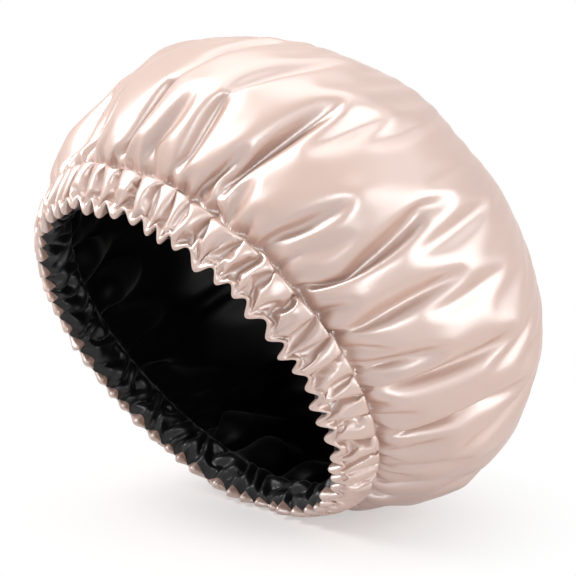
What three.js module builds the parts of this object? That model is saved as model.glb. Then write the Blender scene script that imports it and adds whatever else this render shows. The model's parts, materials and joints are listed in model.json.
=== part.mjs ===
// Hair bonnet: two gathered satin circles, joined at the rim round an elastic in a stitched casing.
// The bonnet is built round its own axis with the rim at z = 0 and the crown above it, then laid on a
// table: it rests on the lowest gathers of its rim and on the flattened underside of its crown.
// All lengths are in millimetres.
import * as THREE from 'three';

// Elastic, relaxed to its worn-in length
const ELASTIC_INNER_RADIUS = 90.4;
const ELASTIC_WIDTH = 12.7;
const ELASTIC_THICKNESS = 1;
const ELASTIC_OVERLAP = 20;
const ELASTIC_STEPS = 72;

// Cloth and thread
const CLOTH_THICKNESS = 0.5;
const THREAD_DIAMETER = 0.5;
const CLEARANCE = 0.3;

// Casing, with its ribs drawn up by the elastic
const RIM_EASE = 0.6;
const STITCH_EASE = 4;
const SCALLOP_DEPTH = 1.2;
const RIM_RIB_HEIGHT = 1.5;
const HEM_RIB_HEIGHT = 1.5;
const LIP_COVER = 1.2;
const OUTER_RIB_HEIGHT = 3.5;
const LINING_RIB_HEIGHT = 3;
const STITCH_RIB_HEIGHT = 1;

// Crown: a flare from the stitch line to the widest circle, then a dome
const CROWN_RADIUS = 127;
const CROWN_DEPTH = 159;
const WIDEST_HEIGHT = 54.5;
const FLARE_POWER = 1.5;
const DOME_POWER = 2.25;
const CROWN_SAG = 6.5;
const CROWN_SIDE_SHIFT = 6.5;

// Folds: each crown sector splits into two folds, and each fold into two gathers at the casing
const CROWN_SECTORS = 12;
const FOLD_DEPTH = 12;
const FOLD_START = 0.5;
const FOLD_END = 1.85;
const FOLD_VARIATION = 0.25;
const FOLD_VARIATION_TURN = 2.4;
const SLOPE_STEP = 0.01;

// Rest on the table
const RIM_PRESS = 1.2;
const CROWN_PRESS = 5;
const PRESS_FADE = 4;
const REST_STEP = 0.02;

// Closing stitches of the gap that the bonnet was turned through
const TURNING_GAP_LENGTH = 70;
const TURNING_GAP_ANGLE = Math.PI;

// Threads: how deep the casing stitches sit in their groove, and the tack over the elastic's ends
const THREAD_SIDES = 5;
const GROOVE_FACTOR = 1.8;
const TACK_STROKES = 5;
const TACK_MARGIN = 2;
const TACK_STEPS_PER_STROKE = 5;
const TACK_POINTS_PER_STROKE = 2;
const TACK_TENSION = 0.3;

// Heights in the casing, from the rim upwards
const seamThickness = CLOTH_THICKNESS + CLEARANCE + THREAD_DIAMETER + CLEARANCE;
const elasticBottom = SCALLOP_DEPTH + seamThickness + RIM_EASE;
const elasticTop = elasticBottom + ELASTIC_WIDTH;
const stitchHeight = elasticTop + STITCH_EASE;

// Radii in the casing, from the lining outwards, at the valleys between the ribs
const threadRadius = THREAD_DIAMETER / 2;
const liningRadius = ELASTIC_INNER_RADIUS - CLEARANCE;
const lapOuterRadius = ELASTIC_INNER_RADIUS + 2 * ELASTIC_THICKNESS + CLEARANCE;
const tackRadius = lapOuterRadius + CLEARANCE + threadRadius;
const outerRadius = tackRadius + threadRadius + CLEARANCE + CLOTH_THICKNESS;
const lipRadius = liningRadius - CLOTH_THICKNESS - LIP_COVER;
const stitchRadius = (outerRadius + liningRadius) / 2 + CLOTH_THICKNESS;

// Depths of the cloth faces below the outside of the crown
const LAYERS = {
  outer: { outside: 0, inside: CLOTH_THICKNESS },
  lining: { outside: CLOTH_THICKNESS + CLEARANCE, inside: 2 * CLOTH_THICKNESS + CLEARANCE },
};

const gatherPoints = 8 * CROWN_SECTORS;
const foldPoints = 4 * CROWN_SECTORS;

// Rows of the crown above the stitch line, and how many points go round in each
const CROWN_ROWS = [
  { station: 0.28, points: foldPoints },
  { station: 0.62, points: foldPoints },
  { station: 1, points: foldPoints },
  { station: 1.2, points: foldPoints },
  { station: 1.45, points: foldPoints / 2 },
  { station: 1.75, points: foldPoints / 4 },
];
const POLE_STATION = 2;

// The crown's section: stations 0 to 1 run along the flare, 1 to 2 over the dome to the pole
function crownSection(station) {
  if (station < 1) {
    const turn = (station * Math.PI) / 2;
    const rise = Math.cos(turn) ** (2 / FLARE_POWER);
    const spread = Math.sin(turn) ** (2 / FLARE_POWER);
    return {
      radius: stitchRadius + (CROWN_RADIUS - stitchRadius) * spread,
      height: WIDEST_HEIGHT - (WIDEST_HEIGHT - stitchHeight) * rise,
    };
  }
  const turn = ((station - 1) * Math.PI) / 2;
  return {
    radius: CROWN_RADIUS * Math.max(Math.cos(turn), 0) ** (2 / DOME_POWER),
    height: WIDEST_HEIGHT + (CROWN_DEPTH - WIDEST_HEIGHT) * Math.sin(turn) ** (2 / DOME_POWER),
  };
}

// The outward direction in the section, square to it
function crownNormal(station) {
  const before = crownSection(station - SLOPE_STEP);
  const after = crownSection(Math.min(station + SLOPE_STEP, POLE_STATION));
  const along = new THREE.Vector2(after.radius - before.radius, after.height - before.height).normalize();
  return { radius: along.y, height: -along.x };
}

// The crown hangs down and to one side: this is how much of that shift a height takes
function shiftShare(height) {
  return THREE.MathUtils.smoothstep(height, stitchHeight, WIDEST_HEIGHT);
}

function roundPoint(radius, angle, height) {
  const share = shiftShare(height);
  return new THREE.Vector3(
    radius * Math.cos(angle) + share * CROWN_SIDE_SHIFT,
    radius * Math.sin(angle) + share * CROWN_SAG,
    height,
  );
}

// Lowest points of rim and crown for a given lean of the axis above the table
function lowestRim(lean) {
  return -(outerRadius + RIM_RIB_HEIGHT) * Math.cos(lean);
}

function lowestCrown(lean) {
  let lowest = Infinity;
  for (let station = 0; station < POLE_STATION; station += REST_STEP) {
    const { radius, height } = crownSection(station);
    const drop = (radius + shiftShare(height) * CROWN_SAG) * Math.cos(lean);
    lowest = Math.min(lowest, height * Math.sin(lean) - drop);
  }
  return lowest;
}

// The lean at which the table presses the crown and the rim by their two amounts
function findRestLean() {
  let low = 0;
  let high = Math.PI / 2;
  for (let halving = 0; halving < 40; halving += 1) {
    const lean = (low + high) / 2;
    const crownIsLower = lowestCrown(lean) + CROWN_PRESS < lowestRim(lean) + RIM_PRESS;
    if (crownIsLower) {
      low = lean;
    } else {
      high = lean;
    }
  }
  return (low + high) / 2;
}

const restLean = findRestLean();
const tableHeight = lowestRim(restLean) + RIM_PRESS;
const upward = new THREE.Vector3(0, -Math.cos(restLean), Math.sin(restLean));

function heightAboveTable(point) {
  return point.dot(upward) - tableHeight;
}

// Moves a point of a cloth face up to the table, less the cloth that lies under that face
function pressed(point, clothBelow) {
  const sunk = clothBelow - heightAboveTable(point);
  return sunk > 0 ? point.addScaledVector(upward, sunk) : point;
}

// Ribs and folds are drawn by their crests and valleys only, so even points are crests
function isCrest(index) {
  return index % 2 === 0;
}

function ringOf(points, place) {
  return Array.from({ length: points }, (_, index) => {
    const angle = (2 * Math.PI * index) / points;
    return place(angle, isCrest(index) ? 1 : 0);
  });
}

// Depth of a valley below the crests beside it; folds die out toward the pole
function valleyDepth(station, angle) {
  const begin = Math.min(1, station / FOLD_START);
  const fade = Math.max(0, 1 - (station / FOLD_END) ** 2);
  const wander = Math.sin(FOLD_VARIATION_TURN * CROWN_SECTORS * angle) + Math.sin(3 * angle);
  return FOLD_DEPTH * begin * fade * (1 + (FOLD_VARIATION * wander) / 2);
}

function crownRow({ station, points }, depthBelow) {
  const { radius, height } = crownSection(station);
  const normal = crownNormal(station);
  return ringOf(points, (angle, crest) => {
    const smooth = roundPoint(radius, angle, height);
    const release = THREE.MathUtils.clamp(heightAboveTable(smooth) / PRESS_FADE, 0, 1);
    const sink = depthBelow + (1 - crest) * release * valleyDepth(station, angle);
    const place = roundPoint(radius, angle, height);
    place.x -= sink * normal.radius * Math.cos(angle);
    place.y -= sink * normal.radius * Math.sin(angle);
    place.z -= sink * normal.height;
    return pressed(place, depthBelow);
  });
}

function crownRows(depthBelow) {
  return CROWN_ROWS.map((row) => crownRow(row, depthBelow));
}

function polePoint(depthBelow) {
  return roundPoint(0, 0, CROWN_DEPTH - depthBelow);
}

function rimHeight(crest) {
  return SCALLOP_DEPTH * (1 - crest);
}

function stitchRow(depthBelow) {
  return ringOf(gatherPoints, (angle, crest) => {
    return roundPoint(stitchRadius + STITCH_RIB_HEIGHT * crest - depthBelow, angle, stitchHeight);
  });
}

// The outer cloth runs from its turned-in lip round the rim corner, up the casing and over the crown
function outerRows(depthBelow) {
  const lip = ringOf(gatherPoints, (angle, crest) => {
    const radius = lipRadius - HEM_RIB_HEIGHT * crest;
    return pressed(roundPoint(radius, angle, rimHeight(crest) + depthBelow), depthBelow);
  });
  const corner = ringOf(gatherPoints, (angle, crest) => {
    const radius = outerRadius + RIM_RIB_HEIGHT * crest - depthBelow;
    return pressed(roundPoint(radius, angle, rimHeight(crest) + depthBelow), depthBelow);
  });
  const shoulder = ringOf(gatherPoints, (angle, crest) => {
    return roundPoint(outerRadius + OUTER_RIB_HEIGHT * crest - depthBelow, angle, elasticTop);
  });
  return [lip, corner, shoulder, stitchRow(depthBelow), ...crownRows(depthBelow)];
}

// The lining runs from its hem above the lip, up inside the elastic and under the crown
function liningRows(depthBelow) {
  const intoCloth = depthBelow - LAYERS.lining.outside;
  const hem = ringOf(gatherPoints, (angle, crest) => {
    const radius = liningRadius - HEM_RIB_HEIGHT * crest - intoCloth;
    return roundPoint(radius, angle, rimHeight(crest) + seamThickness);
  });
  const shoulder = ringOf(gatherPoints, (angle, crest) => {
    return roundPoint(liningRadius - LINING_RIB_HEIGHT * crest - intoCloth, angle, elasticTop);
  });
  return [hem, shoulder, stitchRow(depthBelow), ...crownRows(depthBelow)];
}

// Collects points and triangles for one closed mesh
class MeshBuilder {
  positions = [];
  indices = [];

  addRow(points) {
    const start = this.positions.length / 3;
    points.forEach((point) => this.positions.push(point.x, point.y, point.z));
    return { start, count: points.length };
  }

  at(row, index) {
    return row.start + (index % row.count);
  }

  triangle(a, b, c, flipped) {
    this.indices.push(...(flipped ? [a, c, b] : [a, b, c]));
  }

  // Joins two rings, the upper with as many points as the lower or half as many
  strip(lower, upper, flipped = false) {
    const split = lower.count / upper.count;
    for (let index = 0; index < upper.count; index += 1) {
      const left = this.at(lower, split * index);
      const right = this.at(lower, split * (index + 1));
      const middle = this.at(lower, split * index + 1);
      const upperLeft = this.at(upper, index);
      const upperRight = this.at(upper, index + 1);
      this.triangle(left, middle, upperLeft, flipped);
      this.triangle(middle, upperRight, upperLeft, flipped);
      if (middle !== right) {
        this.triangle(middle, right, upperRight, flipped);
      }
    }
  }

  cap(row, pole, flipped = false) {
    for (let index = 0; index < row.count; index += 1) {
      this.triangle(this.at(row, index), this.at(row, index + 1), pole.start, flipped);
    }
  }

  geometry() {
    const geometry = new THREE.BufferGeometry();
    geometry.setAttribute('position', new THREE.Float32BufferAttribute(this.positions, 3));
    geometry.setIndex(this.indices);
    geometry.computeVertexNormals();
    return geometry;
  }
}

// A sheet of cloth with an outside, an inside and an edge
function clothGeometry(rowsAt, layer) {
  const builder = new MeshBuilder();
  const faces = [layer.outside, layer.inside].map((depthBelow) => ({
    rows: rowsAt(depthBelow).map((points) => builder.addRow(points)),
    pole: builder.addRow([polePoint(depthBelow)]),
  }));
  faces.forEach(({ rows, pole }, side) => {
    const flipped = side === 1;
    rows.slice(1).forEach((upper, index) => builder.strip(rows[index], upper, flipped));
    builder.cap(rows.at(-1), pole, flipped);
  });
  const [outside, inside] = faces;
  builder.strip(inside.rows[0], outside.rows[0]);
  return builder.geometry();
}

// A thread laid round the axis through the given points, closed or with two cut ends
function threadGeometry(points, closed) {
  const builder = new MeshBuilder();
  const sections = points.map((point) => {
    const around = Math.atan2(point.y, point.x);
    const ring = Array.from({ length: THREAD_SIDES }, (_, side) => {
      const turn = (2 * Math.PI * side) / THREAD_SIDES;
      const outward = threadRadius * Math.cos(turn);
      const rise = threadRadius * Math.sin(turn);
      return new THREE.Vector3(outward * Math.cos(around), outward * Math.sin(around), rise).add(point);
    });
    return builder.addRow(ring);
  });
  sections.slice(1).forEach((next, index) => builder.strip(next, sections[index]));
  if (closed) {
    builder.strip(sections[0], sections.at(-1));
  } else {
    const first = builder.addRow([points[0]]);
    const last = builder.addRow([points.at(-1)]);
    builder.cap(sections[0], first);
    builder.cap(sections.at(-1), last, true);
  }
  return builder.geometry();
}

// The needle thread lies in the groove between the casing and the flare of the crown
function needleThreadGeometry() {
  const seat = GROOVE_FACTOR * (threadRadius + CLEARANCE);
  return threadGeometry(stitchRow(-seat), true);
}

function bobbinThreadGeometry() {
  return threadGeometry(stitchRow(LAYERS.lining.inside + CLEARANCE + threadRadius), true);
}

// Threads at the hem lie on the lip, under the lining's edge or just inside it
function hemThreadPoint(angle, crest, inward) {
  const radius = liningRadius - HEM_RIB_HEIGHT * crest - inward;
  const height = rimHeight(crest) + CLOTH_THICKNESS + CLEARANCE + threadRadius;
  return roundPoint(radius, angle, height);
}

function edgeSeamGeometry() {
  const ring = ringOf(gatherPoints, (angle, crest) => hemThreadPoint(angle, crest, CLOTH_THICKNESS / 2));
  return threadGeometry(ring, true);
}

function turningGapGeometry() {
  const inward = CLOTH_THICKNESS + CLEARANCE + threadRadius;
  const pitch = (2 * Math.PI) / gatherPoints;
  const halfCount = Math.max(1, Math.round(TURNING_GAP_LENGTH / 2 / (liningRadius * pitch)));
  const middle = Math.round(TURNING_GAP_ANGLE / pitch);
  const points = [];
  for (let index = middle - halfCount; index <= middle + halfCount; index += 1) {
    points.push(hemThreadPoint(index * pitch, isCrest(Math.abs(index)) ? 1 : 0, inward));
  }
  return threadGeometry(points, false);
}

// The elastic's strip runs once round and rides up over its own start for the lap
function elasticGeometry() {
  const lapAngle = ELASTIC_OVERLAP / ELASTIC_INNER_RADIUS;
  const lapStep = ELASTIC_THICKNESS + CLEARANCE;
  const innerRadius = (angle) => {
    const climb = THREE.MathUtils.smoothstep(angle, 2 * Math.PI - lapAngle, 2 * Math.PI);
    return ELASTIC_INNER_RADIUS + lapStep * climb;
  };
  const end = 2 * Math.PI + lapAngle;
  const inner = [];
  const outer = [];
  for (let step = 0; step <= ELASTIC_STEPS; step += 1) {
    const angle = (end * step) / ELASTIC_STEPS;
    const direction = new THREE.Vector2(Math.cos(angle), Math.sin(angle));
    inner.push(direction.clone().multiplyScalar(innerRadius(angle)));
    outer.push(direction.clone().multiplyScalar(innerRadius(angle) + ELASTIC_THICKNESS));
  }
  const strip = new THREE.Shape([...outer, ...inner.reverse()]);
  return new THREE.ExtrudeGeometry(strip, { depth: ELASTIC_WIDTH, bevelEnabled: false });
}

// A zigzag tack over the elastic's lapped ends
function tackGeometry() {
  const lapAngle = ELASTIC_OVERLAP / ELASTIC_INNER_RADIUS;
  const points = Array.from({ length: TACK_STROKES + 1 }, (_, stroke) => {
    const angle = (lapAngle * (stroke + 1)) / (TACK_STROKES + 2);
    const height = isCrest(stroke) ? TACK_MARGIN : ELASTIC_WIDTH - TACK_MARGIN;
    return new THREE.Vector3(tackRadius * Math.cos(angle), tackRadius * Math.sin(angle), height);
  });
  const path = new THREE.CurvePath();
  points.slice(1).forEach((point, index) => path.add(new THREE.LineCurve3(points[index], point)));
  const tackPoints = path.getSpacedPoints(TACK_STROKES * TACK_POINTS_PER_STROKE);
  const round = new THREE.CatmullRomCurve3(tackPoints, false, 'catmullrom', TACK_TENSION);
  const section = new THREE.Shape();
  section.absarc(0, 0, threadRadius, 0, 2 * Math.PI);
  return new THREE.ExtrudeGeometry(section, {
    steps: TACK_STROKES * TACK_STEPS_PER_STROKE,
    curveSegments: THREAD_SIDES,
    extrudePath: round,
    bevelEnabled: false,
  });
}

function material(color, roughness, metalness) {
  return new THREE.MeshStandardMaterial({ color, roughness, metalness });
}

const champagneSatin = material('#d9c3ba', 0.38, 0.15);
const blackSatin = material('#141315', 0.35, 0.1);
const whiteElastic = material('#e9e5df', 0.85, 0);
const champagneThread = material('#cdb3a6', 0.6, 0);
const blackThread = material('#17161a', 0.6, 0);

function namedMesh(name, geometry, look) {
  const mesh = new THREE.Mesh(geometry, look);
  mesh.name = name;
  return mesh;
}

const bonnet = new THREE.Group();
bonnet.add(namedMesh('outer_shell', clothGeometry(outerRows, LAYERS.outer), champagneSatin));
bonnet.add(namedMesh('lining', clothGeometry(liningRows, LAYERS.lining), blackSatin));
bonnet.add(namedMesh('casing_needle_thread', needleThreadGeometry(), champagneThread));
bonnet.add(namedMesh('casing_bobbin_thread', bobbinThreadGeometry(), blackThread));
bonnet.add(namedMesh('edge_seam_thread', edgeSeamGeometry(), champagneThread));
bonnet.add(namedMesh('turning_gap_stitch', turningGapGeometry(), champagneThread));

const elastic = new THREE.Group();
elastic.position.z = elasticBottom;
elastic.add(namedMesh('elastic_band', elasticGeometry(), whiteElastic));
elastic.add(namedMesh('elastic_join_stitch', tackGeometry(), champagneThread));
bonnet.add(elastic);

// Lay the bonnet on the table, with the middle of its footprint at the origin
bonnet.rotation.x = restLean - Math.PI / 2;
bonnet.position.z = -tableHeight;
bonnet.updateMatrixWorld(true);
const footprint = new THREE.Box3().setFromObject(bonnet, true).getCenter(new THREE.Vector3());
bonnet.position.x = -footprint.x;
bonnet.position.y = -footprint.y;

const group = new THREE.Group();
group.add(bonnet);

export default group;
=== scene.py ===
import json
import math

import bpy
import numpy as np
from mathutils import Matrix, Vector
from mathutils.bvhtree import BVHTree


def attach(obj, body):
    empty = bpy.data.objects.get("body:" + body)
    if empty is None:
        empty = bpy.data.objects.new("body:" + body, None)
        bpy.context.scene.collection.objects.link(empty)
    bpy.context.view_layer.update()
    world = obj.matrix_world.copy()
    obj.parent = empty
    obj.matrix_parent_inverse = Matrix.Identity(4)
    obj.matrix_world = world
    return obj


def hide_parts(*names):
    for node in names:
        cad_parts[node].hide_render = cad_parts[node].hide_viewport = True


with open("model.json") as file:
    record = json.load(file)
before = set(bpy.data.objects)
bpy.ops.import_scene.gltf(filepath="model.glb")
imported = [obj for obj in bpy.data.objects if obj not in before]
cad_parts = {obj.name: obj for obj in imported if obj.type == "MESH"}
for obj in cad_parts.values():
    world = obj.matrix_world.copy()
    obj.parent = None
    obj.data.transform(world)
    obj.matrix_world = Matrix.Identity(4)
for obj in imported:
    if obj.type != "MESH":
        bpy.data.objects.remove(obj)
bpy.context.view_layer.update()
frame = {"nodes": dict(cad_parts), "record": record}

# Camera, from the photograph: angles in degrees, lengths in metres, lens and sensor in millimetres
CAMERA_AZIMUTH = 49.9
CAMERA_ELEVATION = 9.4
CAMERA_DISTANCE = 1.0
CAMERA_LENS = 135.8
CAMERA_SENSOR = 36
AIM_RIGHT = 0.0473
AIM_UP = 0.0343

# Section of the bonnet in metres, and the points that it is worked out at
WIDEST_HEIGHT = 0.0545
FLARE_POWER = 1.5
DOME_POWER = 2.25
CROWN_SAG = 0.0065
RIM_RADIUS = 0.0945
STITCH_RADIUS = 0.0965
OUTER_CUT = 0.53
LINING_CUT = 0.50
CASING_POINTS = 60
CROWN_POINTS = 400
SLACK_POINTS = 600

# Cloth grid: rings from the pole to the rim, the last of them in the casing, sectors, and how near to a ring
# counts as on it. Ring k has k points in each sector
RINGS = 88
CASING_RINGS = 13
SECTORS = 6
TOLERANCE = 1e-6

# Uneven waves round the rim: how many are added, the weight of each, the step in their number of turns, and
# the first one's turns for the width and the height of the gathers and for the lining
WAVES = 4
WAVE_WEIGHT = 0.6
WAVE_STEP = 4
WIDTH_TURNS = 3
HEIGHT_TURNS = 11
LINING_TURNS = 9

# Casing: the gathers, the ruffled rim, the gathers beyond the stitch line, and the turned edge
GATHERS = 56
GATHER_WANDER = 1.1
GATHER_UNEVEN = 0.2
RIB_HEIGHT = 0.0046
PUFF_POWER = 0.7
RUFFLE_OUT = 0.0008
RUFFLE_IN = 0.0024
RUFFLE_LENGTH = 0.008
SCALLOP_DEPTH = 0.0026
SCALLOP_LEVEL = 0.3
STITCH_RIB_HEIGHT = 0.0036
GATHER_FADE = 0.02
LIP_RADIUS = 0.0021
LIP_LEAST = 0.5
LIP_LENGTH = 0.0032
LIP_LEVEL = 0.1
LIP_STEPS = 6
LIP_CUT_STEP = 0.005

# Folds of the crown that the photograph shows: angle round the axis in degrees, depth, reach beyond the
# stitch line, drift in degrees
SEEN_FOLDS = [
    (239, 0.014, 0.075, 2),
    (247.5, 0.020, 0.090, 2),
    (256, 0.024, 0.105, 2),
    (264, 0.026, 0.115, 3),
    (273, 0.028, 0.125, 3),
    (282, 0.022, 0.100, 2),
    (292, 0.023, 0.120, 0),
    (306, 0.018, 0.090, 0),
    (320, 0.007, 0.050, 2),
    (337, 0.010, 0.090, -3),
    (348.5, 0.010, 0.065, -1),
    (360, 0.008, 0.050, -3),
    (370, 0.014, 0.080, -3),
    (381, 0.014, 0.085, 2),
    (388, 0.008, 0.050, 0),
    (396, 0.011, 0.060, 0),
    (406.5, 0.011, 0.065, 0),
    (418, 0.011, 0.065, 0),
]

# All folds of the crown: width in degrees at the stitch line and its growth per metre, the distance at which
# they are full, how round they are, their share at the stitch line and where in the casing that begins, how
# far the deepest one counts where they meet, and the length over which they drift
FOLD_WIDTH = 2.2
FOLD_WIDENING = 60
FOLD_START = 0.025
FOLD_POWER = 1.5
FOLD_PINCH = 0.1
PINCH_START = 0.8
FOLD_MERGE = 4
DRIFT_LENGTH = 0.06

# Folds that the photograph doesn't show: usual step in degrees, least and greatest depth and reach
HIDDEN_FOLD_STEP = 11.5
HIDDEN_FOLD_DEPTH = (0.008, 0.015)
HIDDEN_FOLD_REACH = (0.05, 0.15)

# All seeded folds: least and greatest drift in degrees, and share of the usual step
SEEDED_DRIFT = (-3, 3)
SEEDED_STEP = (0.75, 1.25)
SEED = 11

# Flatter place at the crown's upper left: depth, angle and width in degrees, where beyond the stitch line it
# starts and ends
FLAT_DEPTH = 0.013
FLAT_ANGLE = 248
FLAT_WIDTH = 20
FLAT_START = (0.0, 0.03)
FLAT_END = (0.05, 0.1)

# Dents over the end of the crown: how many waves, their pitch, depth and wander, and where they start
DENTS = 6
DENT_PITCH = (0.035, 0.075)
DENT_DEPTH = 0.0014
DENT_WANDER = 1.5
DENT_START = (0.095, 0.155)

# Cloth simulation: spare cloth as a share of the width, more of it round an upper angle in degrees, its fade
# beyond the stitch line, the casing's spare length, how firmly the cloth is held, its stiffness, and the run
CASING_SLACK = 0.5
FOLD_SLACK = 0.62
UPPER_SLACK = 0.1
UPPER_ANGLE = 275
CROWN_SLACK = 0.03
SLACK_FADE = 0.036
CASING_PUFF = 1.15
DOME_HOLD = 0.34
DOME_HOLD_START = (0.08, 0.15)
CROWN_HOLD = 0.05
QUALITY = 5
POINT_MASS = 0.1
TENSION = 15
COMPRESSION = 2
BENDING = 40.0
STRETCH_DAMPING = 5
BENDING_DAMPING = 0.5
PRESSURE = 140.0
RELEASE_FRAME = 4
SIM_FRAMES = 20
SMOOTH_ROUNDS = 2

# Floor: the height below which a cloth is pressed flatter, and the least height of each cloth
FLOOR_PRESS = 0.004
OUTER_FLOOR = 0.0003
LINING_FLOOR = 0.0012

# Lining: its place inside the outer cloth, its gathers in the casing and its own folds
LINING_GAP = 0.0018
LINING_CLEARANCE = 0.0011
LINING_NORMAL_ROUNDS = 4
LINING_ROUNDS = 3
LINING_RIB_HEIGHT = 0.0042
LINING_TUCK = 0.0004
LINING_CASING_RADIUS = 0.0894
LINING_EASE = 0.2
LINING_WIGGLE = 2.0
LINING_UNEVEN = 2.0
LINING_FOLD_STEP = 14
LINING_FOLD_DEPTH = (0.009, 0.017)
LINING_FOLD_REACH = (0.07, 0.14)
LINING_FOLD_WIDTH = 3.5
LINING_FOLD_START = 0.025
LINING_FOLD_POWER = 2

# Threads: sizes, how far a stitch stands out of the cloth and dips into it in thread radii, the edge seam's
# height over the rim, and how far off the axis the line leans that a thread's sides are turned from
THREAD_RADIUS = 0.00025
CLOSING_THREAD_RADIUS = 0.00012
THREAD_SIDES = 6
STITCH_LENGTH = 0.0026
STITCH_GAP = 0.0006
STITCH_POINTS = 5
STITCH_RISE = 2
STITCH_DIP = 0.8
SEAM_HEIGHT = 0.001
OFF_AXIS = 0.01

# Materials: soft change of tone and weave of the satin, strands of thread and elastic
TONE_SCALE = 14
TONE_DETAIL = 3
TONE_RANGE = (0.3, 0.7)
SHEEN_ROUGHNESS = 0.4
WEAVE_SCALE = 900
WEAVE_DISTORTION = 1.5
WEAVE_STRENGTH = 0.06
STRAND_SCALE = 4000
ELASTIC_SCALE = 1500
STRAND_DISTORTION = 2
STRAND_STRENGTH = 0.3
STRAND_DARK = 0.6
THREAD_ROUGHNESS = 0.55
BUMP_DISTANCE = 0.0001

# Stage: the floor, how white it is to the eye next to the bonnet and where that grows to plain white, the
# soft light all round and its share from below, and the height that the lamps face
FLOOR_HALF = 4
FLOOR_COLOUR = (0.95, 0.88, 0.85, 1)
FLOOR_ROUGHNESS = 0.9
FLOOR_WHITE = 0.45
FLOOR_FADE = (0.02, 0.155)
AMBIENT = 0.14
SKY_LOW = 0.25
LAMP_AIM = 0.11

# Lamps from the camera's point of view: name, to the right, up, toward the camera, width, length, watts
LAMPS = [
    ("key", -0.78, 1.05, 0.14, 0.6, 0.9, 18),
    ("side", 1.0, 0.45, 0.4, 1.0, 1.0, 8.5),
    ("top", 0.15, 1.2, -0.2, 1.2, 1.0, 5.5),
    ("front", 0.2, 0.3, 1.05, 0.25, 0.25, 2),
]


def unit(vector):
    return vector / np.linalg.norm(vector)


opening = next(m for m in frame["record"]["mounts"] if m["name"] == "head_opening")
RIM_CENTRE = np.array(opening["pos_m"])
AXIS = -unit(np.array(opening["axis"], float))
SIDE = np.array([1.0, 0.0, 0.0])
DOWN = np.cross(AXIS, SIDE)


def node_points(name):
    """Points of a CAD node, from the rim centre: to the side, down in the rim plane, along the axis."""
    points = np.array([v.co for v in frame["nodes"][name].data.vertices]) - RIM_CENTRE
    return points @ np.stack([SIDE, DOWN, AXIS], 1)


shell_points = node_points("outer_shell")
CROWN_DEPTH = shell_points[:, 2].max()
CROWN_RADIUS = np.ptp(shell_points[:, 0]) / 2
CROWN_SIDE_SHIFT = shell_points[:, 0].max() - CROWN_RADIUS
STITCH_HEIGHT = node_points("casing_needle_thread")[:, 2].mean()
rng = np.random.default_rng(SEED)


def smoothstep(low, high, value):
    share = np.clip((value - low) / (high - low), 0, 1)
    return share * share * (3 - 2 * share)


def outward(angle):
    """Directions straight out from the bonnet's axis."""
    return np.cos(angle)[:, None] * SIDE + np.sin(angle)[:, None] * DOWN


def across_axis(points):
    """Where points lie across the axis: to the side, and down in the rim plane."""
    return (points - RIM_CENTRE) @ np.stack([SIDE, DOWN], 1)


def turn_from(centre, angle):
    """Degrees from a centre given in degrees to an angle in radians, from -180 to 180."""
    return (np.degrees(angle) - centre + 180) % 360 - 180


class Section:
    """The bonnet's section by distance from the rim: casing, flare and dome."""

    def __init__(self):
        turn = np.linspace(0, np.pi / 2, CROWN_POINTS)
        flare_r = STITCH_RADIUS + (CROWN_RADIUS - STITCH_RADIUS) * np.sin(turn) ** (2 / FLARE_POWER)
        flare_t = WIDEST_HEIGHT - (WIDEST_HEIGHT - STITCH_HEIGHT) * np.cos(turn) ** (2 / FLARE_POWER)
        dome_r = CROWN_RADIUS * np.cos(turn) ** (2 / DOME_POWER)
        dome_t = WIDEST_HEIGHT + (CROWN_DEPTH - WIDEST_HEIGHT) * np.sin(turn) ** (2 / DOME_POWER)
        casing = np.linspace(0, 1, CASING_POINTS)
        casing_r = RIM_RADIUS + (STITCH_RADIUS - RIM_RADIUS) * casing
        casing_t = STITCH_HEIGHT * casing
        self.radius = np.concatenate([casing_r[:-1], flare_r[:-1], dome_r])
        self.height = np.concatenate([casing_t[:-1], flare_t[:-1], dome_t])
        steps = np.hypot(np.diff(self.radius), np.diff(self.height))
        self.distance = np.concatenate([[0], np.cumsum(steps)])
        self.length = self.distance[-1]
        self.stitch = self.distance[CASING_POINTS - 1]
        tangent_r = np.gradient(self.radius, self.distance)
        tangent_t = np.gradient(self.height, self.distance)
        size = np.hypot(tangent_r, tangent_t)
        self.normal_r = tangent_t / size
        self.normal_t = -tangent_r / size

    def at(self, distance):
        """Radius, height, and the outward normal's two parts."""
        rows = (self.radius, self.height, self.normal_r, self.normal_t)
        return [np.interp(distance, self.distance, row) for row in rows]


def place(radius, angle, height):
    """From the section's radius, angle and height to the row frame."""
    share = smoothstep(STITCH_HEIGHT, WIDEST_HEIGHT, height)
    side = radius * np.cos(angle) + share * CROWN_SIDE_SHIFT
    down = radius * np.sin(angle) + share * CROWN_SAG
    return RIM_CENTRE + side[:, None] * SIDE + down[:, None] * DOWN + height[:, None] * AXIS


def disc_grid(rings):
    """Ring number and angle of each point, the triangles, and each ring's first point, of an even disc."""
    ring = [0]
    angle = [0.0]
    for k in range(1, rings + 1):
        count = SECTORS * k
        ring += [k] * count
        angle += list(2 * np.pi * np.arange(count) / count)
    start = [0] + [1 + SECTORS * k * (k - 1) // 2 for k in range(1, rings + 2)]
    faces = []
    for k in range(1, rings + 1):
        count = SECTORS * k
        inside = max(count - SECTORS, 1)
        for sector in range(SECTORS):
            for step in range(k):
                outer = start[k] + (sector * k + step) % count
                outer_next = start[k] + (sector * k + step + 1) % count
                inner = start[k - 1] + (sector * (k - 1) + step) % inside
                faces.append((inner, outer, outer_next))
                if step < k - 1:
                    inner_next = start[k - 1] + (sector * (k - 1) + step + 1) % inside
                    faces.append((inner, outer_next, inner_next))
    return np.array(ring), np.array(angle), faces, start


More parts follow.
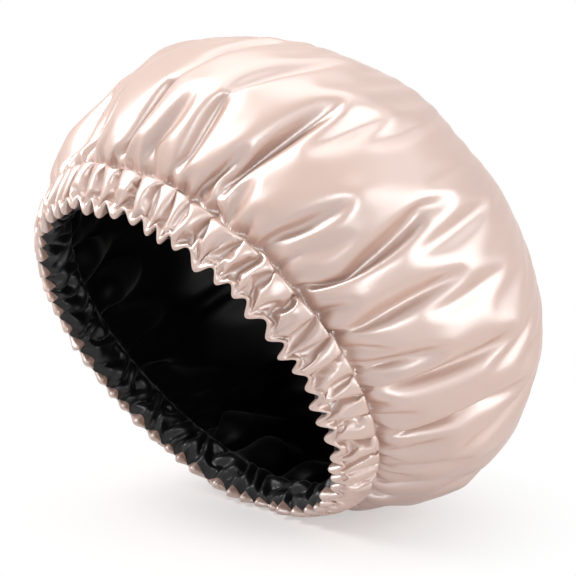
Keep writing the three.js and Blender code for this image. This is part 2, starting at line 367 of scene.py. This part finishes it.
def seeded_folds(first, last, step, depth, reach):
    """Folds at uneven steps from one angle to another, with seeded sizes, in the form of SEEN_FOLDS."""
    folds = []
    angle = first
    while angle < last - step / 2:
        folds.append((angle, rng.uniform(*depth), rng.uniform(*reach), rng.uniform(*SEEDED_DRIFT)))
        angle += step * rng.uniform(*SEEDED_STEP)
    return folds


def wander(angle, first, shifts):
    """A smooth uneven wave round the rim, from about -1 to 1."""
    waves = [np.sin((first + WAVE_STEP * k) * angle + shift) for k, shift in enumerate(shifts)]
    return sum(WAVE_WEIGHT * wave for wave in waves)


def gather_lobes(angle, shifts, twist):
    """From 0 in the pinches to about 1 on the crests of the gathers, which are uneven in width and height.
    The first set has sharp pinches, for the casing, and the second is rounded, for the ruffled rim."""
    turn = GATHERS * angle + GATHER_WANDER * wander(angle, WIDTH_TURNS, shifts[0]) + twist
    height = 1 + GATHER_UNEVEN * wander(angle, HEIGHT_TURNS, shifts[1])
    return height * np.abs(np.sin(turn / 2)), height * (1 - np.cos(turn)) / 2


def fold_depth(angle, beyond, folds, width, start, power, pinch):
    """Depth below the crests at each point, by its distance beyond the stitch line. The folds have a width
    in degrees and a share of their depth, the pinch, at that line. They are full after the start, and rounder
    with a higher power."""
    along = np.clip(beyond, 0, None)
    centre = folds[:, 0] + folds[:, 3] * (along / DRIFT_LENGTH)[:, None]
    gap = turn_from(centre, angle[:, None])
    wide = width + FOLD_WIDENING * along
    fade = (1 - np.clip(along[:, None] / folds[:, 2], 0, 1) ** 2) ** 2
    shape = np.exp(-np.abs(gap / wide[:, None]) ** power)
    deepest = ((folds[:, 1] * fade * shape) ** FOLD_MERGE).sum(1) ** (1 / FOLD_MERGE)
    return (pinch + (1 - pinch) * smoothstep(0, start, along)) * deepest


def flattened(points, angle, beyond):
    """The crown drawn in at its upper left."""
    share = np.exp(-(turn_from(FLAT_ANGLE, angle) / FLAT_WIDTH) ** 2)
    share = share * smoothstep(*FLAT_START, beyond) * (1 - smoothstep(*FLAT_END, beyond))
    return points - FLAT_DEPTH * share[:, None] * outward(angle)


def crown_dents(points, beyond):
    """Soft dents over the end of the crown: a few seeded waves that wander across it."""
    across = across_axis(points)
    total = np.zeros(len(points))
    turns = rng.uniform(0, np.pi, DENTS)
    pitches = rng.uniform(*DENT_PITCH, DENTS)
    shifts = rng.uniform(0, 2 * np.pi, DENTS)
    for turn, pitch, shift in zip(turns, pitches, shifts):
        along = across @ np.array([np.cos(turn), np.sin(turn)]) * 2 * np.pi / pitch
        aside = across @ np.array([-np.sin(turn), np.cos(turn)]) * np.pi / pitch
        total += np.sin(along + DENT_WANDER * np.sin(aside + shift) + shift)
    return DENT_DEPTH * smoothstep(*DENT_START, beyond) * total / math.sqrt(DENTS)


def ruffle(distance, wave):
    """How far the rim stands out, and down, by its distance from the edge: its crests hook inward."""
    near = 1 - smoothstep(0, RUFFLE_LENGTH, distance)
    out = near * (RUFFLE_OUT - (RUFFLE_OUT + RUFFLE_IN) * wave)
    return out, near * SCALLOP_DEPTH * (wave - SCALLOP_LEVEL)


def lip_size(wave):
    """The rolled edge's radius and the height of its end over the rim: both are greatest on the crests."""
    return LIP_RADIUS * (LIP_LEAST + (1 - LIP_LEAST) * wave), LIP_LENGTH * (wave - LIP_LEVEL)


def folded_shape(section, distance, angle, lobe, wave, folds):
    """Where the gathered cloth starts from."""
    radius, height, normal_r, normal_t = section.at(distance)
    casing = np.clip(distance / section.stitch, 0, 1)
    beyond = distance - section.stitch
    puff = np.sin(np.pi * casing) ** PUFF_POWER * RIB_HEIGHT
    fade = np.exp(-np.clip(beyond, 0, None) / GATHER_FADE)
    at_stitch = STITCH_RIB_HEIGHT * fade * smoothstep(0, 1, casing)
    depth = fold_depth(angle, beyond, folds, FOLD_WIDTH, FOLD_START, FOLD_POWER, FOLD_PINCH)
    out = (puff + at_stitch) * lobe - smoothstep(PINCH_START, 1, casing) * depth
    rim_out, rim_down = ruffle(distance, wave)
    return place(radius + normal_r * out + rim_out, angle, height + normal_t * out - rim_down)


def slack_shape(section, distance, angle):
    """The cloth with its spare width let out: wider circles toward the rim, and a longer casing."""
    reach = np.linspace(0, section.length, SLACK_POINTS)
    beyond = section.length - reach - section.stitch
    steps = np.diff(reach) * np.where(beyond[1:] < 0, CASING_PUFF, 1)
    path = np.concatenate([[0], np.cumsum(steps)])
    fading = FOLD_SLACK * np.exp(-np.clip(beyond, 0, None) / SLACK_FADE)
    slack = np.where(beyond < 0, CASING_SLACK, fading) + CROWN_SLACK
    plain = section.at(section.length - reach)[0]
    radius = np.minimum(plain * (1 + slack), path)
    rise = np.sqrt(np.clip(steps ** 2 - np.diff(radius) ** 2, 0, None))
    height = np.concatenate([[0], np.cumsum(rise)])
    mine = section.length - distance
    wide = np.interp(mine, reach, radius)
    upper = np.clip(np.cos(angle - math.radians(UPPER_ANGLE)), 0, 1) ** 2
    wide += upper * UPPER_SLACK * (wide - np.interp(mine, reach, np.minimum(plain, path)))
    return np.stack([wide * np.cos(angle), wide * np.sin(angle), -np.interp(mine, reach, height)], 1)


def on_floor(points, least):
    """Presses what would go below the floor to a little above it."""
    low = points[:, 2] < FLOOR_PRESS
    room = FLOOR_PRESS - least
    points[low, 2] = least + room * np.exp((points[low, 2] - FLOOR_PRESS) / room)
    return points


def new_mesh(name, points, faces):
    """A smooth-shaded object in the scene."""
    mesh = bpy.data.meshes.new(name)
    mesh.from_pydata([tuple(p) for p in points], [], faces)
    mesh.polygons.foreach_set("use_smooth", [True] * len(mesh.polygons))
    obj = bpy.data.objects.new(name, mesh)
    bpy.context.collection.objects.link(obj)
    return obj


def simulate(slack, folded, faces, pins):
    """Moves the slack cloth to its folded start, lets it go there, and gives what the folds settle to. The
    slack shape in frame 1 sets the lengths of the springs, and the whole cloth is held until the release."""
    obj = new_mesh("cloth", slack, faces)
    obj.shape_key_add(name="Basis")
    key = obj.shape_key_add(name="folded")
    key.data.foreach_set("co", folded.astype(np.float32).ravel())
    for frame_number, value in ((1, 0), (2, 1)):
        key.value = value
        key.keyframe_insert("value", frame=frame_number)
    group = obj.vertex_groups.new(name="pins")
    for weight in np.unique(pins):
        group.add([int(i) for i in np.flatnonzero(pins == weight)], float(weight), "REPLACE")
    hold = obj.modifiers.new("hold", "VERTEX_WEIGHT_MIX")
    hold.vertex_group_a = "pins"
    hold.mix_set = "ALL"
    hold.mix_mode = "SET"
    hold.default_weight_b = 1
    for frame_number, value in ((1, 1), (RELEASE_FRAME - 1, 1), (RELEASE_FRAME, 0)):
        hold.mask_constant = value
        hold.keyframe_insert("mask_constant", frame=frame_number)
    modifier = obj.modifiers.new("cloth", "CLOTH")
    cloth = modifier.settings
    cloth.quality = QUALITY
    cloth.mass = POINT_MASS
    cloth.tension_stiffness = TENSION
    cloth.compression_stiffness = COMPRESSION
    cloth.bending_stiffness = BENDING
    cloth.tension_damping = STRETCH_DAMPING
    cloth.compression_damping = STRETCH_DAMPING
    cloth.bending_damping = BENDING_DAMPING
    cloth.vertex_group_mass = "pins"
    cloth.pin_stiffness = 1
    cloth.use_pressure = True
    cloth.uniform_pressure_force = PRESSURE
    cloth.effector_weights.gravity = 0
    modifier.collision_settings.use_collision = False
    modifier.point_cache.frame_end = SIM_FRAMES
    for frame_number in range(1, SIM_FRAMES + 1):
        bpy.context.scene.frame_set(frame_number)
    evaluated = obj.evaluated_get(bpy.context.evaluated_depsgraph_get())
    points = np.empty(len(slack) * 3, np.float32)
    evaluated.data.vertices.foreach_get("co", points)
    bpy.data.objects.remove(obj)
    bpy.context.scene.frame_set(1)
    return points.reshape(-1, 3).astype(float)


def neighbour_mean(values, edges):
    """The mean of the values at each point's neighbours."""
    total = np.zeros_like(values)
    count = np.zeros(len(values))
    for a, b in (edges.T, edges.T[::-1]):
        np.add.at(total, a, values[b])
        np.add.at(count, a, 1)
    return total / count[:, None]


def relaxed(points, edges):
    """Points moved halfway to the middle of their neighbours."""
    return 0.5 * points + 0.5 * neighbour_mean(points, edges)


def point_normals(points, faces):
    """Normals at the points, weighed by the area of the faces round them."""
    corners = points[np.array(faces)]
    flat = np.cross(corners[:, 1] - corners[:, 0], corners[:, 2] - corners[:, 0])
    normals = np.zeros_like(points)
    for corner in range(3):
        np.add.at(normals, np.array(faces)[:, corner], flat)
    return normals / np.linalg.norm(normals, axis=1)[:, None]


def keep_inside(points, hull_points, faces, clearance):
    """Points pushed to at least the clearance below the outer cloth."""
    tree = BVHTree.FromPolygons([tuple(p) for p in hull_points], faces)
    moved = points.copy()
    for i, point in enumerate(points):
        spot, normal, _, _ = tree.find_nearest(tuple(point))
        depth = (spot - Vector(point)).dot(normal)
        if depth < clearance:
            moved[i] = np.array(spot - normal * clearance)
    return moved


def lining_shape(section, outer_points, faces, edges, distance, angle, lobe, wave, folds, stitch_row):
    """The lining: inside the outer cloth with folds of its own, and puffed into the opening in the casing."""
    normals = point_normals(outer_points, faces)
    for _ in range(LINING_NORMAL_ROUNDS):
        normals = neighbour_mean(normals, edges)
    normals /= np.linalg.norm(normals, axis=1)[:, None]
    points = outer_points - LINING_GAP * normals
    for _ in range(LINING_ROUNDS):
        points = relaxed(points, edges)
    points = keep_inside(points, outer_points, faces, LINING_CLEARANCE)
    beyond = distance - section.stitch
    depth = fold_depth(angle, beyond, folds, LINING_FOLD_WIDTH, LINING_FOLD_START, LINING_FOLD_POWER, 0)
    points -= normals * depth[:, None]
    casing = np.clip(distance / section.stitch, 0, 1)
    rim_out, rim_down = ruffle(distance, wave)
    lip_radius, lip_end = lip_size(wave)
    edge_r = RIM_RADIUS - 2 * lip_radius + LINING_TUCK
    edge_height = lip_end - 2 * LINING_TUCK
    stitch_r = np.hypot(*across_axis(outer_points[stitch_row]).T)
    stitch_r = np.interp(angle, angle[stitch_row], stitch_r, period=2 * np.pi) - LINING_GAP
    middle = smoothstep(0, LINING_EASE, casing) * (1 - smoothstep(1 - LINING_EASE, 1, casing))
    straight = edge_r + (stitch_r - edge_r) * casing
    radius = straight + (LINING_CASING_RADIUS - straight) * middle
    radius = radius - LINING_RIB_HEIGHT * lobe * np.sin(np.pi * casing) ** PUFF_POWER + rim_out
    height = edge_height + (STITCH_HEIGHT - edge_height) * casing - rim_down
    casing_points = place(radius, angle, height)
    inside_casing = distance <= section.stitch + TOLERANCE
    points[inside_casing] = casing_points[inside_casing]
    return points


def add_lip(points, faces, rim, angle, wave):
    """Rolls the outer cloth's edge in over the rim and a little way up inside."""
    radius, end = lip_size(wave)
    out = outward(angle)
    rows = [np.array(rim)]
    points = list(points)
    faces = list(faces)
    turns = [np.pi * (step + 1) / LIP_STEPS for step in range(LIP_STEPS)]
    offsets = [(-radius * (1 - math.cos(turn)), -radius * math.sin(turn)) for turn in turns]
    offsets.append((-2 * radius, end))
    base = np.array([points[i] for i in rim])
    for inward, along in offsets:
        rows.append(len(points) + np.arange(len(rim)))
        points += list(base + inward[:, None] * out + along[:, None] * AXIS)
    for near, far in zip(rows[:-1], rows[1:]):
        for i in range(len(rim)):
            j = (i + 1) % len(rim)
            faces.append((int(near[i]), int(far[i]), int(far[j]), int(near[j])))
    return np.array(points), faces


def tube(path, radius):
    """Points and faces of a round thread along an open path, with closed ends."""
    path = np.array(path)
    along = np.gradient(path, axis=0)
    points = []
    for spot, direction in zip(path, along):
        direction = unit(direction)
        across = unit(np.cross(direction, AXIS + OFF_AXIS * SIDE))
        rise = np.cross(direction, across)
        for k in range(THREAD_SIDES):
            turn = 2 * math.pi * k / THREAD_SIDES
            points.append(spot + radius * (math.cos(turn) * across + math.sin(turn) * rise))
    faces = []
    for row in range(len(path) - 1):
        near = row * THREAD_SIDES
        far = near + THREAD_SIDES
        for k in range(THREAD_SIDES):
            after = (k + 1) % THREAD_SIDES
            faces.append((near + k, near + after, far + after, far + k))
    faces.append(tuple(reversed(range(THREAD_SIDES))))
    last = (len(path) - 1) * THREAD_SIDES
    faces.append(tuple(range(last, last + THREAD_SIDES)))
    return points, faces


def join_tubes(paths, radius):
    """Threads along several paths as one mesh."""
    points = []
    faces = []
    for path in paths:
        more_points, more_faces = tube(path, radius)
        faces += [tuple(len(points) + i for i in face) for face in more_faces]
        points += more_points
    return points, faces


def stitch_paths(loop, lift):
    """Single stitches along a closed loop: each stands out of the cloth and dips in at its ends."""
    closed = np.concatenate([loop, loop[:1]])
    lifted = np.concatenate([lift, lift[:1]])
    steps = np.linalg.norm(np.diff(closed, axis=0), axis=1)
    run = np.concatenate([[0], np.cumsum(steps)])
    count = int(run[-1] / (STITCH_LENGTH + STITCH_GAP))
    pitch = run[-1] / count
    share = np.linspace(0, 1, STITCH_POINTS)
    stand = THREAD_RADIUS * (STITCH_RISE * np.sin(np.pi * share) - STITCH_DIP)
    paths = []
    for n in range(count):
        spots = n * pitch + share * (pitch - STITCH_GAP)
        line = np.stack([np.interp(spots, run, closed[:, k]) for k in range(3)], 1)
        rise = np.stack([np.interp(spots, run, lifted[:, k]) for k in range(3)], 1)
        paths.append(line + rise * stand[:, None])
    return paths


def principled(name, roughness):
    """A new material, its nodes, its links and its shader."""
    material = bpy.data.materials.new(name)
    material.use_nodes = True
    shader = material.node_tree.nodes["Principled BSDF"]
    shader.inputs["Roughness"].default_value = roughness
    return material, material.node_tree.nodes, material.node_tree.links, shader


def satin(name, dark, light, roughness, ior, specular, sheen):
    """Satin: a soft change of tone over the cloth and a fine weave along the cut cloth's own grain."""
    material, nodes, links, shader = principled(name, roughness)
    shader.inputs["IOR"].default_value = ior
    shader.inputs["Specular IOR Level"].default_value = specular
    shader.inputs["Sheen Weight"].default_value = sheen
    shader.inputs["Sheen Roughness"].default_value = SHEEN_ROUGHNESS
    grain = nodes.new("ShaderNodeUVMap")
    grain.uv_map = "cut"
    tone = nodes.new("ShaderNodeTexNoise")
    tone.inputs["Scale"].default_value = TONE_SCALE
    tone.inputs["Detail"].default_value = TONE_DETAIL
    ramp = nodes.new("ShaderNodeValToRGB")
    for element, position, colour in zip(ramp.color_ramp.elements, TONE_RANGE, (dark, light)):
        element.position = position
        element.color = (*colour, 1)
    weave = nodes.new("ShaderNodeTexWave")
    weave.inputs["Scale"].default_value = WEAVE_SCALE
    weave.inputs["Distortion"].default_value = WEAVE_DISTORTION
    bump = nodes.new("ShaderNodeBump")
    bump.inputs["Strength"].default_value = WEAVE_STRENGTH
    bump.inputs["Distance"].default_value = BUMP_DISTANCE
    links.new(grain.outputs["UV"], tone.inputs["Vector"])
    links.new(grain.outputs["UV"], weave.inputs["Vector"])
    links.new(tone.outputs["Fac"], ramp.inputs["Fac"])
    links.new(ramp.outputs["Color"], shader.inputs["Base Color"])
    links.new(weave.outputs["Fac"], bump.inputs["Height"])
    links.new(bump.outputs["Normal"], shader.inputs["Normal"])
    return material


def twisted_thread(name, colour, scale):
    """Spun thread or woven elastic: fine twisted strands."""
    material, nodes, links, shader = principled(name, THREAD_ROUGHNESS)
    place_node = nodes.new("ShaderNodeTexCoord")
    strands = nodes.new("ShaderNodeTexWave")
    strands.inputs["Scale"].default_value = scale
    strands.inputs["Distortion"].default_value = STRAND_DISTORTION
    ramp = nodes.new("ShaderNodeValToRGB")
    ramp.color_ramp.elements[0].color = (*[STRAND_DARK * c for c in colour], 1)
    ramp.color_ramp.elements[1].color = (*colour, 1)
    bump = nodes.new("ShaderNodeBump")
    bump.inputs["Strength"].default_value = STRAND_STRENGTH
    bump.inputs["Distance"].default_value = BUMP_DISTANCE
    links.new(place_node.outputs["Object"], strands.inputs["Vector"])
    links.new(strands.outputs["Fac"], ramp.inputs["Fac"])
    links.new(ramp.outputs["Color"], shader.inputs["Base Color"])
    links.new(strands.outputs["Fac"], bump.inputs["Height"])
    links.new(bump.outputs["Normal"], shader.inputs["Normal"])
    return material


def finish_piece(obj, material, node):
    """Gives a piece its material and its place in the frame."""
    obj.data.materials.append(material)
    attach(obj, "root")
    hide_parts(node)


def stitch_line(name, loop, lift, material, node):
    """A closed line of single stitches as one piece."""
    obj = new_mesh(name, *join_tubes(stitch_paths(loop, lift), THREAD_RADIUS))
    finish_piece(obj, material, node)


def cut_map(obj, cut):
    """Gives each point its place in the cut cloth, in metres, as the texture map."""
    layer = obj.data.uv_layers.new(name="cut")
    corners = np.empty(len(obj.data.loops), np.int32)
    obj.data.loops.foreach_get("vertex_index", corners)
    layer.uv.foreach_set("vector", cut[corners].astype(np.float32).ravel())


def round_off(obj):
    """Smooths a cloth by one subdivision."""
    modifier = obj.modifiers.new("rounded", "SUBSURF")
    modifier.levels = 1
    modifier.render_levels = 1
    modifier.use_limit_surface = False


# Shapes
section = Section()
ring, angle, faces, start = disc_grid(RINGS)
sides = np.array([(face[k], face[(k + 1) % 3]) for face in faces for k in range(3)])
edges = np.unique(np.sort(sides, axis=1), axis=0)
stitch_ring = RINGS - CASING_RINGS
distance = np.interp(ring, [0, stitch_ring, RINGS], [section.length, section.stitch, 0])
beyond = distance - section.stitch
folds = np.array(SEEN_FOLDS + seeded_folds(
    SEEN_FOLDS[-1][0] + HIDDEN_FOLD_STEP, SEEN_FOLDS[0][0] + 360, HIDDEN_FOLD_STEP,
    HIDDEN_FOLD_DEPTH, HIDDEN_FOLD_REACH))
shifts = rng.uniform(0, 2 * np.pi, (2, WAVES))
lobe, wave = gather_lobes(angle, shifts, 0)
lining_folds = np.array(seeded_folds(0, 360, LINING_FOLD_STEP, LINING_FOLD_DEPTH, LINING_FOLD_REACH))
lining_phase = 2 * np.pi * distance / section.stitch + LINING_UNEVEN * wander(angle, LINING_TURNS, shifts[1])
lining_twist = LINING_WIGGLE * np.sin(lining_phase)
lining_lobe = gather_lobes(angle, shifts, lining_twist)[0]
pins = DOME_HOLD * smoothstep(*DOME_HOLD_START, distance) + CROWN_HOLD * (ring < stitch_ring)
pins[(ring == RINGS) | (ring == stitch_ring)] = 1
outer_points = folded_shape(section, distance, angle, lobe, wave, folds)
outer_points = simulate(slack_shape(section, distance, angle), outer_points, faces, pins)
free = (ring < stitch_ring)[:, None]
for _ in range(SMOOTH_ROUNDS):
    outer_points = np.where(free, relaxed(outer_points, edges), outer_points)
outer_points = flattened(outer_points, angle, beyond)
dents = crown_dents(outer_points, beyond)
outer_points += dents[:, None] * point_normals(outer_points, faces)
outer_points = on_floor(outer_points, OUTER_FLOOR)
stitch_row = np.arange(start[stitch_ring], start[stitch_ring + 1])
lining_points = lining_shape(
    section, outer_points, faces, edges, distance, angle, lining_lobe, wave, lining_folds, stitch_row)
lining_points = on_floor(lining_points, LINING_FLOOR)
cut = (1 - distance / section.length)[:, None] * np.stack([np.cos(angle), np.sin(angle)], 1)

# Materials
outer_satin = satin(
    "outer_satin", dark=(0.41, 0.247, 0.188), light=(0.465, 0.29, 0.226),
    roughness=0.36, ior=2.2, specular=1.0, sheen=0.1)
lining_satin = satin(
    "lining_satin", dark=(0.002, 0.002, 0.0023), light=(0.005, 0.005, 0.0056),
    roughness=0.36, ior=1.5, specular=0.36, sheen=0.12)
outer_thread = twisted_thread("outer_thread", colour=(0.62, 0.46, 0.39), scale=STRAND_SCALE)
lining_thread = twisted_thread("lining_thread", colour=(0.02, 0.02, 0.022), scale=STRAND_SCALE)
elastic_weave = twisted_thread("elastic", colour=(0.78, 0.77, 0.74), scale=ELASTIC_SCALE)

# Outer cloth
rim = np.arange(start[RINGS], start[RINGS + 1])
shown_points, shown_faces = add_lip(outer_points, faces, rim, angle[rim], wave[rim])
lip_cuts = [cut[rim] * (1 + LIP_CUT_STEP * (k + 1)) for k in range(LIP_STEPS + 1)]
shown_cut = np.concatenate([cut] + lip_cuts)
outer = new_mesh("outer_cloth", shown_points, shown_faces)
cut_map(outer, shown_cut * OUTER_CUT / 2)
finish_piece(outer, outer_satin, "outer_shell")
round_off(outer)

# Lining
lining = new_mesh("lining_cloth", lining_points, [tuple(reversed(face)) for face in faces])
cut_map(lining, cut * LINING_CUT / 2)
finish_piece(lining, lining_satin, "lining")
round_off(lining)

# Threads
lift = point_normals(outer_points, faces)[stitch_row]
stitch_line(
    "casing_stitches", outer_points[stitch_row], lift, outer_thread, "casing_needle_thread")
stitch_line(
    "casing_stitches_inside", lining_points[stitch_row], -lift, lining_thread,
    "casing_bobbin_thread")
rim_out = outward(angle[rim])
lip_radius, lip_end = lip_size(wave[rim])
seam_loop = outer_points[rim] - lip_radius[:, None] * rim_out + SEAM_HEIGHT * AXIS
stitch_line("edge_seam", seam_loop, -rim_out, outer_thread, "edge_seam_thread")
gap_points = node_points("turning_gap_stitch")
gap_angle = np.arctan2(gap_points[:, 1], gap_points[:, 0]) % (2 * np.pi)
in_gap = (angle[rim] > gap_angle.min()) & (angle[rim] < gap_angle.max())
lip_back = (2 * lip_radius - LINING_TUCK / 2)[:, None] * rim_out
closing = outer_points[rim] - lip_back + (lip_end - LINING_TUCK)[:, None] * AXIS
gap_stitches = new_mesh("turning_gap_stitches", *join_tubes([closing[in_gap]], CLOSING_THREAD_RADIUS))
finish_piece(gap_stitches, outer_thread, "turning_gap_stitch")

# Elastic inside the casing keeps its CAD shape
for node, material in (("elastic_band", elastic_weave), ("elastic_join_stitch", outer_thread)):
    frame["nodes"][node].data.materials.clear()
    frame["nodes"][node].data.materials.append(material)

# Camera
azimuth = math.radians(CAMERA_AZIMUTH)
elevation = math.radians(CAMERA_ELEVATION)
level = math.cos(elevation)
back = Vector((math.sin(azimuth) * level, -math.cos(azimuth) * level, math.sin(elevation)))
right = Vector((math.cos(azimuth), math.sin(azimuth), 0))
up = back.cross(right)
camera_data = bpy.data.cameras.new("camera")
camera_data.lens = CAMERA_LENS
camera_data.sensor_width = CAMERA_SENSOR
camera = bpy.data.objects.new("camera", camera_data)
bpy.context.collection.objects.link(camera)
camera.location = Vector(RIM_CENTRE) + right * AIM_RIGHT + up * AIM_UP + back * CAMERA_DISTANCE
camera.rotation_mode = "QUATERNION"
camera.rotation_quaternion = (-back).to_track_quat("-Z", "Y")
bpy.context.scene.camera = camera


def seen_by_eye(nodes, links):
    """1 for what the camera sees, straight, reflected or through something clear, and 0 for other light."""
    path = nodes.new("ShaderNodeLightPath")
    total = path.outputs["Is Camera Ray"]
    for name in ("Is Glossy Ray", "Is Transmission Ray"):
        both = nodes.new("ShaderNodeMath")
        both.operation = "MAXIMUM"
        links.new(total, both.inputs[0])
        links.new(path.outputs[name], both.inputs[1])
        total = both.outputs[0]
    return total


# Floor: pale, shadowed near the bonnet, and plain white to the eye farther off
floor_corners = [(FLOOR_HALF * x, FLOOR_HALF * y, 0) for x, y in ((-1, -1), (1, -1), (1, 1), (-1, 1))]
floor = new_mesh("floor", floor_corners, [(0, 1, 2, 3)])
floor_material, nodes, links, floor_shader = principled("floor", FLOOR_ROUGHNESS)
floor_shader.inputs["Base Color"].default_value = FLOOR_COLOUR
floor_place = nodes.new("ShaderNodeTexCoord")
floor_reach = nodes.new("ShaderNodeVectorMath")
floor_reach.operation = "LENGTH"
floor_white = nodes.new("ShaderNodeMapRange")
floor_white.interpolation_type = "SMOOTHSTEP"
floor_white.inputs["From Min"].default_value = FLOOR_FADE[0]
floor_white.inputs["From Max"].default_value = FLOOR_FADE[1]
floor_white.inputs["To Min"].default_value = FLOOR_WHITE
floor_share = nodes.new("ShaderNodeMath")
floor_share.operation = "MULTIPLY"
white = nodes.new("ShaderNodeEmission")
floor_mix = nodes.new("ShaderNodeMixShader")
links.new(floor_place.outputs["Object"], floor_reach.inputs[0])
links.new(floor_reach.outputs["Value"], floor_white.inputs["Value"])
links.new(floor_white.outputs["Result"], floor_share.inputs[0])
links.new(seen_by_eye(nodes, links), floor_share.inputs[1])
links.new(floor_share.outputs[0], floor_mix.inputs["Fac"])
links.new(floor_shader.outputs["BSDF"], floor_mix.inputs[1])
links.new(white.outputs["Emission"], floor_mix.inputs[2])
links.new(floor_mix.outputs["Shader"], nodes["Material Output"].inputs["Surface"])
floor.data.materials.append(floor_material)

# World: white behind the bonnet, to the eye and in reflections, and a soft light from above
world = bpy.data.worlds.new("studio")
bpy.context.scene.world = world
world.use_nodes = True
nodes = world.node_tree.nodes
links = world.node_tree.links
ambient = nodes["Background"]
ambient.inputs["Strength"].default_value = AMBIENT
sky_place = nodes.new("ShaderNodeTexCoord")
sky_split = nodes.new("ShaderNodeSeparateXYZ")
sky_ramp = nodes.new("ShaderNodeValToRGB")
sky_ramp.color_ramp.elements[0].color = (SKY_LOW, SKY_LOW, SKY_LOW, 1)
backdrop = nodes.new("ShaderNodeBackground")
backdrop.inputs["Color"].default_value = (1, 1, 1, 1)
world_mix = nodes.new("ShaderNodeMixShader")
links.new(sky_place.outputs["Generated"], sky_split.inputs["Vector"])
links.new(sky_split.outputs["Z"], sky_ramp.inputs["Fac"])
links.new(sky_ramp.outputs["Color"], ambient.inputs["Color"])
links.new(seen_by_eye(nodes, links), world_mix.inputs["Fac"])
links.new(ambient.outputs["Background"], world_mix.inputs[1])
links.new(backdrop.outputs["Background"], world_mix.inputs[2])
links.new(world_mix.outputs["Shader"], nodes["World Output"].inputs["Surface"])


def area_lamp(name, sideways, height, toward, width, length, power):
    """A soft box, placed from the camera's point of view, that faces the bonnet."""
    data = bpy.data.lights.new(name, "AREA")
    data.shape = "RECTANGLE"
    data.size = width
    data.size_y = length
    data.energy = power
    lamp = bpy.data.objects.new(name, data)
    bpy.context.collection.objects.link(lamp)
    forward = Vector((back.x, back.y, 0)).normalized()
    lamp.location = right * sideways + forward * toward + Vector((0, 0, height))
    lamp.rotation_mode = "QUATERNION"
    lamp.rotation_quaternion = (Vector((0, 0, LAMP_AIM)) - lamp.location).to_track_quat("-Z", "Y")


for lamp_row in LAMPS:
    area_lamp(*lamp_row)

bpy.context.scene.view_settings.view_transform = "Standard"
